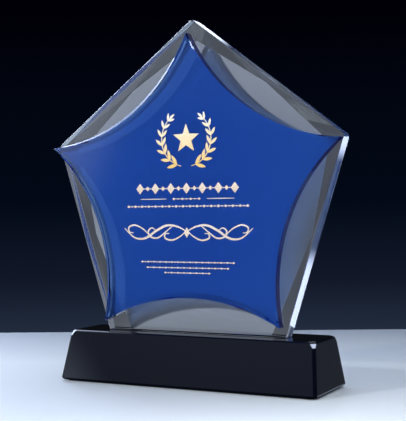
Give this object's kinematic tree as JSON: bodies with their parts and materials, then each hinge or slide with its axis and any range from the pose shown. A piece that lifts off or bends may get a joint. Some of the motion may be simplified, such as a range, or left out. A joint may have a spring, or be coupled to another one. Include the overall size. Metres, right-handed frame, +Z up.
{
  "type": "star trophy",
  "caption": "Crystal award: a blue star plate with concave sides bonded to a clear pentagon plate, standing on a tapered black crystal base.",
  "frame": {"origin": "middle of the base's footprint, on the surface that the trophy stands on", "axes": "+Z up, -Y towards the front, which the star plate faces, +X to the right seen from the front"},
  "size_m": [0.203, 0.0546, 0.2339],
  "materials": {
    "black_foam": "matte closed-cell foam",
    "black_crystal": "polished black crystal",
    "clear_adhesive": "clear cured adhesive",
    "clear_crystal": "polished clear crystal",
    "blue_crystal": "polished blue crystal",
    "gold_print": "satin gold ink"
  },
  "bodies": {
    "root": {"base_pad": "black_foam", "base_block": "black_crystal", "base_bond_film": "clear_adhesive", "pentagon_plate": "clear_crystal", "star_bond_film": "clear_adhesive", "star_plate": "blue_crystal", "laurel_branch_left": "gold_print", "laurel_branch_right": "gold_print", "laurel_star": "gold_print", "title_band": "gold_print", "rule_left": "gold_print", "rule_right": "gold_print", "rule_beads": "gold_print", "beaded_line": "gold_print", "flourish": "gold_print", "fine_line_upper": "gold_print", "fine_line_middle": "gold_print", "fine_line_lower": "gold_print"}
  },
  "joints": []
}
